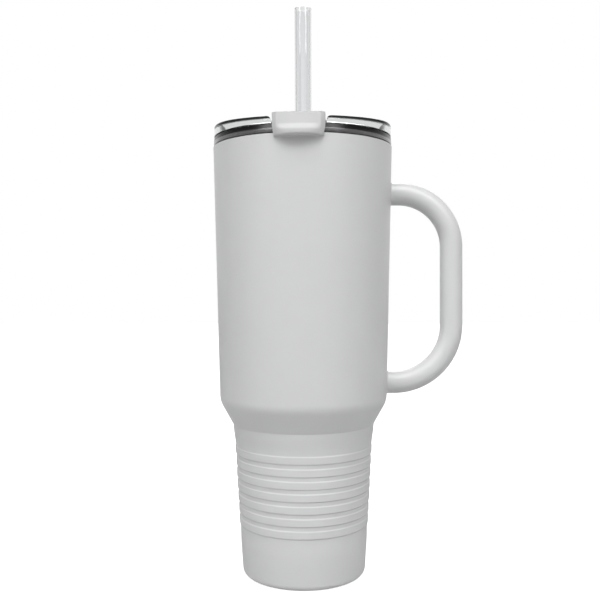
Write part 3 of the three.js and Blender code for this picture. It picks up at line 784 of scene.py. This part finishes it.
def handle_line():
    """Points and outward directions along the handle's centre line, round its two bends."""
    top_x, bottom_x = HANDLE_X - HANDLE_TOP_BEND, HANDLE_X - HANDLE_BOTTOM_BEND
    top_z, bottom_z = HANDLE_TOP_Z - HANDLE_TOP_BEND, HANDLE_BOTTOM_Z + HANDLE_BOTTOM_BEND
    steps = 40
    line = []
    for i in range(steps + 1):
        a = math.pi / 2 * (1 - i / steps)
        out = Vector((math.cos(a), 0, math.sin(a)))
        line.append((Vector((top_x, 0, top_z)) + out * HANDLE_TOP_BEND, out))
    for i in range(steps + 1):
        a = -math.pi / 2 * i / steps
        out = Vector((math.cos(a), 0, math.sin(a)))
        line.append((Vector((bottom_x, 0, bottom_z)) + out * HANDLE_BOTTOM_BEND, out))
    return line


def on_shell(y, z):
    """The x of the shell's surface beside the handle."""
    return math.sqrt(wide_r(z) ** 2 - y * y)


def make_handle():
    sides = SMALL_ROUND
    build = bmesh.new()
    across = [2 * math.pi * i / sides for i in range(sides)]

    def ring(centre, out, radius=HANDLE_R):
        side = Vector((0, radius, 0))
        return [build.verts.new(centre + out * (radius * math.cos(a)) + side * math.sin(a))
                for a in across]

    def weld(z, out):
        """The arm's end: it flares a little where the weld meets the shell."""
        rings = []
        steps = 6
        for i in range(steps + 1):
            turn = math.pi / 2 * i / steps
            radius = HANDLE_R + WELD_ROUND * (1 - math.sin(turn))
            lift = WELD_ROUND * (1 - math.cos(turn))
            verts = ring(Vector((0, 0, z)), out, radius)
            for v in verts:
                v.co.x = on_shell(v.co.y, v.co.z) + lift
            rings.append(verts)
        return rings

    up, down = Vector((0, 0, 1)), Vector((0, 0, -1))
    middle = [ring(point, out) for point, out in handle_line()]
    rings = weld(HANDLE_TOP_Z, up) + middle + weld(HANDLE_BOTTOM_Z, down)[::-1]
    for low, high in zip(rings, rings[1:]):
        for i in range(sides):
            j = (i + 1) % sides
            build.faces.new((low[i], low[j], high[j], high[i]))
    for end in (rings[0], rings[-1]):
        build.faces.new(end)
    return finish_mesh("handle_tube", build, HANDLE_SHARP)


# ---------------------------------------------------------------- the lid


def lid_profile():
    inner = LID_R - LID_RIM_WALL
    underside = LIP_TOP_Z + CAD_GAP
    shoulder = outline([
        (SKIRT_R, underside, 0),
        (LID_R, underside, 0.35 * MM),
        (LID_R, LID_TOP_Z, LID_EDGE_ROUND),
        (inner, LID_TOP_Z, 0.8 * MM),
        (inner, DECK_TOP_Z, 1.0 * MM),
        (0, DECK_TOP_Z, 0),
    ])
    deck_under = DECK_TOP_Z - DECK_THICK
    skirt_inner = SKIRT_R - SKIRT_WALL
    return [
        *outline([
            (0, deck_under, 0),
            (skirt_inner, deck_under, 0.8 * MM),
            (skirt_inner, lid_lo.z, 0.4 * MM),
            (SKIRT_R, lid_lo.z, 0.8 * MM),
            (SKIRT_R, GROOVE_LOW_Z, 0.2 * MM),
            (SKIRT_R - GROOVE_DEPTH, GROOVE_LOW_Z, 0.2 * MM),
            (SKIRT_R - GROOVE_DEPTH, GROOVE_HIGH_Z, 0.2 * MM),
            (SKIRT_R, GROOVE_HIGH_Z, 0.2 * MM),
            (SKIRT_R, underside, 0),
        ])[:-1],
        *shoulder,
    ]


def rim_lift(y):
    """How much higher the rim's top is at y than at the front."""
    eased = max(0.0, min(y, LID_SLOPE_END) + LID_SLOPE_END)
    return LID_SLOPE * (LID_R + min(y, LID_SLOPE_END) - eased ** 2 / (4 * LID_SLOPE_END))


def notch_polygon():
    """What is cut from the lid's rim under the tab, drawn in (x, z)."""
    clear = LID_TOP_Z + REACH
    wide = NOTCH_HALF_WIDTH + NOTCH_ROUND
    right = arc((wide, NOTCH_Z), NOTCH_ROUND, math.pi, math.pi / 2)
    left = arc((-wide, NOTCH_Z), NOTCH_ROUND, math.pi / 2, 0)
    return [(-wide, clear), *left, *right, (wide, clear)]


def ear_polygon():
    """A hinge ear in side view, drawn in (y, z)."""
    root = DECK_TOP_Z - DECK_THICK / 2
    top = arc((HINGE_Y, HINGE_Z), EAR_R, 0, math.pi)
    return [(HINGE_Y - EAR_R, root), (HINGE_Y + EAR_R, root), *top]


def pin_bore():
    """What is cut out for the hinge pin."""
    bore = arc((HINGE_Y, HINGE_Z), PIN_R + HAIR, 0, 2 * math.pi)[:-1]
    return prism(bore, "X", -BORE_HALF_LENGTH, BORE_HALF_LENGTH)


def make_lid():
    lid = lathe("lid", lid_profile())
    for vert in lid.data.vertices:
        if vert.co.z > LID_TOP_Z - LID_EDGE_ROUND - 2 * HAIR:
            vert.co.z += rim_lift(vert.co.y)
    combine(lid, prism(notch_polygon(), "Y", *NOTCH_SPAN), "DIFFERENCE")
    hole_r = GROMMET_NECK_R + SOFT_FIT
    low, high = DECK_TOP_Z - REACH, DECK_TOP_Z + REACH
    hole = [(0, low), (hole_r, low), (hole_r, high), (0, high)]
    combine(lid, lathe_bmesh(hole, SMALL_ROUND, STRAW_AXIS), "DIFFERENCE")
    slot = stadium(SIP_HALF_X, SIP_HALF_Y, SIP_Y)
    combine(lid, prism(slot, "Z", low, DECK_TOP_Z + 1 * MM), "DIFFERENCE")
    inner = KNUCKLE_HALF_WIDTH + CAD_GAP
    for side in (-1, 1):
        span = sorted((side * inner, side * (inner + EAR_WIDTH)))
        combine(lid, prism(ear_polygon(), "X", *span), "UNION")
    combine(lid, pin_bore(), "DIFFERENCE")
    shade_mesh(lid.data)
    return lid


def make_gasket():
    """The gasket: a flat band with two soft lips."""
    inner = SKIRT_R - GROOVE_DEPTH + HAIR
    low, high, outer = gasket_lo.z, gasket_hi.z, gasket_hi.x
    web = (inner + outer) / 2
    middle = (low + high) / 2
    lip = 1.2 * MM
    taper = 0.1 * MM
    soft, tip = 0.3 * MM, 0.45 * MM             # roundings
    return lathe("gasket", outline([
        (inner, middle, 0),
        (inner, low, soft),
        (outer, low + taper, tip),
        (outer - taper, low + lip, soft),
        (web, low + lip, soft),
        (web, high - lip, soft),
        (outer - taper, high - lip, soft),
        (outer, high - taper, tip),
        (inner, high, soft),
        (inner, middle + taper, 0),
    ]))


def make_grommet():
    bore, neck, flange = STRAW_R + SOFT_FIT, GROMMET_NECK_R, grommet_hi.x
    low, high = grommet_lo.z, grommet_hi.z
    middle = (low + high) / 2
    under, over = DECK_TOP_Z - DECK_THICK, DECK_TOP_Z
    soft = 0.35 * MM
    return lathe("grommet", outline([
        (bore, middle, 0),
        (bore, low, soft),
        (flange, low, soft),
        (flange, under - HAIR, soft),
        (neck, under - HAIR, 0.1 * MM),
        (neck, over + HAIR, 0.1 * MM),
        (flange, over + HAIR, soft),
        (flange, high, soft),
        (bore, high, soft),
        (bore, middle + 2 * HAIR, 0),
    ]), SMALL_ROUND, STRAW_AXIS)


def make_straw():
    inner = STRAW_R - STRAW_WALL
    low, high = straw_lo.z, straw_hi.z
    middle = (low + high) / 2
    soft = 0.4 * MM
    return lathe("straw_tube", outline([
        (inner, middle, 0),
        (inner, low, soft),
        (STRAW_R, low, soft),
        (STRAW_R, high, soft),
        (inner, high, soft),
        (inner, middle + 1 * MM, 0),
    ]), SMALL_ROUND, STRAW_AXIS)


# ---------------------------------------------------------------- the flip tab


def make_pin():
    """The hinge pin, with domed ends."""
    half = pin_hi.x
    dome = 0.5 * MM
    profile = outline([
        (0, -half, 0),
        (PIN_R, -half, dome),
        (PIN_R, half, dome),
        (0, half, 0),
    ])
    build = lathe_bmesh(profile, SMALL_ROUND)
    to_hinge = Matrix.Translation((0, HINGE_Y, HINGE_Z))
    build.transform(to_hinge @ Matrix.Rotation(math.pi / 2, 4, "Y"))
    return finish_mesh("hinge_pin", build)


def tab_front(x):
    """How far forward the tongue reaches at x: a round plan."""
    centre = TONGUE_Y + TONGUE_PLAN_R
    return centre - math.sqrt(TONGUE_PLAN_R ** 2 - x * x)


def tab_taper(z):
    """How much narrower the tongue is at a height than the plate."""
    return 1 - TAB_TAPER * smooth((TAB_TAPER_Z - z) / (TAB_TAPER_Z - TONGUE_BOTTOM_Z))


def tab_section(x):
    """The tab's outline in (y, z) at x, from the rear underside round the front to the rear top."""
    plate_z = TAB_TOP_Z - TAB_THICK
    nose = tab_front(x)
    face = max(TAB_FRONT_Y, nose)
    clear = LIP_R + TONGUE_GAP
    back = -math.sqrt(clear ** 2 - x * x)
    bottom = TONGUE_BOTTOM_Z
    reach = face - nose
    flare = []
    steps = 10
    for i in range(steps + 1):
        t = i / steps
        flare.append((face - reach * smooth(t), FLARE_TOP_Z + (FLARE_BOTTOM_Z - FLARE_TOP_Z) * t))
    curl = TONGUE_CURL
    turn = [(nose + curl * (1 - math.cos(a)), bottom + curl * (1 - math.sin(a)))
            for a in (math.pi / 2 * i / 6 for i in range(7))]
    gate = NOTCH_Z + NOTCH_GAP
    inner_y = back + TONGUE_THICK
    return [
        (TAB_REAR_Y, plate_z),
        (inner_y, plate_z),
        (inner_y, gate),
        (back, gate),
        (back, bottom),
        *turn[::-1],
        *flare[::-1],
        (face, TAB_TOP_Z),
        (TAB_REAR_Y, TAB_TOP_Z),
    ]


def make_tab():
    build = bmesh.new()
    stations = 48
    xs = [TAB_HALF_WIDTH * (2 * i / stations - 1) for i in range(stations + 1)]
    rows = [[build.verts.new((x * tab_taper(z), y, z)) for y, z in tab_section(x)] for x in xs]
    count = len(rows[0])
    for left, right in zip(rows, rows[1:]):
        for i in range(count):
            j = (i + 1) % count
            build.faces.new((left[i], left[j], right[j], right[i]))
    build.faces.new(rows[0])
    build.faces.new(rows[-1])
    tab = finish_mesh("flip_tab", build)
    knuckle = arc((HINGE_Y, HINGE_Z), KNUCKLE_R, 0.5 * math.pi, -1.15 * math.pi)
    joined_y = TAB_REAR_Y - 2 * MM
    web = [*knuckle, (joined_y, TAB_TOP_Z - TAB_THICK), (joined_y, TAB_TOP_Z)]
    combine(tab, prism(web, "X", -KNUCKLE_HALF_WIDTH, KNUCKLE_HALF_WIDTH), "UNION")
    stud = stadium(STUD_HALF_X, STUD_HALF_Y, SIP_Y)
    stud_low = plug_lo.z + PLUG_FLOOR + SOFT_FIT
    combine(tab, prism(stud, "Z", stud_low, TAB_TOP_Z - TAB_THICK / 2), "UNION")
    combine(tab, pin_bore(), "DIFFERENCE")
    soften(tab, 0.5 * MM, 3)
    return tab


def make_plug():
    """The stopper: a soft plug that narrows downwards, under a thin flange."""
    build = bmesh.new()
    flange_z = DECK_TOP_Z + HAIR
    flange_top = flange_z + 1.0 * MM
    soft = 0.3                      # mm of rounding at an edge
    levels = [                      # (mm in from the slot's edge, height)
        (2.0, plug_lo.z),
        (1.3, plug_lo.z + soft * MM),
        (PLUG_INSET, DECK_TOP_Z - soft * MM),
        (PLUG_INSET, flange_z),
        (soft - PLUG_FLANGE, flange_z),
        (-PLUG_FLANGE, flange_z + soft * MM),
        (-PLUG_FLANGE, flange_top - soft * MM),
        (soft - PLUG_FLANGE, flange_top),
        (PLUG_INSET, flange_top),
        (PLUG_INSET, plug_hi.z),
        (PLUG_SOCKET, plug_hi.z),
        (PLUG_SOCKET, plug_lo.z + PLUG_FLOOR),
    ]
    rows = []
    for inset, z in levels:
        slot = stadium(SIP_HALF_X - inset * MM, SIP_HALF_Y - inset * MM, SIP_Y)
        rows.append([build.verts.new((x, y, z)) for x, y in slot])
    count = len(rows[0])
    for low, high in zip(rows, rows[1:]):
        for i in range(count):
            j = (i + 1) % count
            build.faces.new((low[i], low[j], high[j], high[i]))
    build.faces.new(rows[0])
    build.faces.new(rows[-1])
    return finish_mesh("stopper", build)


# ---------------------------------------------------------------- the scene


def make_floor():
    build = bmesh.new()
    half = 3.0                      # half its side, in metres
    corners = [(-half, -half), (half, -half), (half, half), (-half, half)]
    build.faces.new([build.verts.new((x, y, 0)) for x, y in corners])
    floor = finish_mesh("floor", build)
    floor.location.z = -2 * HAIR
    floor.data.materials.append(white_floor())


make_camera()
make_world()
softbox("left", -42, 36, 3.0, 0.90, 1.60, 29)
softbox("right", 42, 36, 3.0, 0.90, 1.60, 26)
softbox("top", 0, 61, 2.0, 1.30, 1.20, 35)
softbox("back", 180, 36, 3.0, 1.20, 1.20, 24)
make_floor()

coat = powder_coat()
sheet_steel = turned_steel("sheet_steel", 0.3)
disc_steel = spun_steel()
# the lid's tint paints a dark reflection along the top of its rim
lid_plastic = clear_plastic("clear_plastic", 1.49, painted_rim_line, 0.05)
straw_plastic = clear_plastic("straw_plastic", 1.47, drawn_streaks, 0.08)
soft_white = silicone()
tab_finish = tab_plastic()

place(make_shell(), coat, "cup", "outer_shell", "powder_coat")
place(make_handle(), coat, "cup", "handle", "powder_coat")
place(make_liner(), lip_steel(), "cup", "inner_liner", "bare_steel")
place(make_drink_floor(), disc_steel, "cup", "inner_bottom", "bare_steel")
place(make_base_plate(), disc_steel, "cup", "outer_bottom", "base_steel")
place(make_gasket(), soft_white, "lid_seal", "lid_gasket", "silicone")
place(make_lid(), lid_plastic, "lid", "lid_body", "clear_plastic")
place(make_grommet(), soft_white, "lid", "straw_grommet", "silicone")
place(make_pin(), sheet_steel, "lid", "flap_hinge_pin", "bare_steel")
place(make_straw(), straw_plastic, "straw", "straw", "straw_plastic")
place(make_tab(), tab_finish, "tab", "flap", "tab_plastic")
place(make_plug(), soft_white, "tab", "sip_plug", "silicone")

hidden = {
    "middle_bottom": sheet_steel,
    "getter_cap": sheet_steel,
    "handle_upper_boss": sheet_steel,
    "handle_lower_boss": sheet_steel,
    "getter": getter_metal(),
    "vacuum_seal": solder_glass(),
}
for node, material in hidden.items():
    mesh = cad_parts[node].data
    mesh.materials.clear()
    mesh.materials.append(material)

scene.view_settings.view_transform = "Standard"
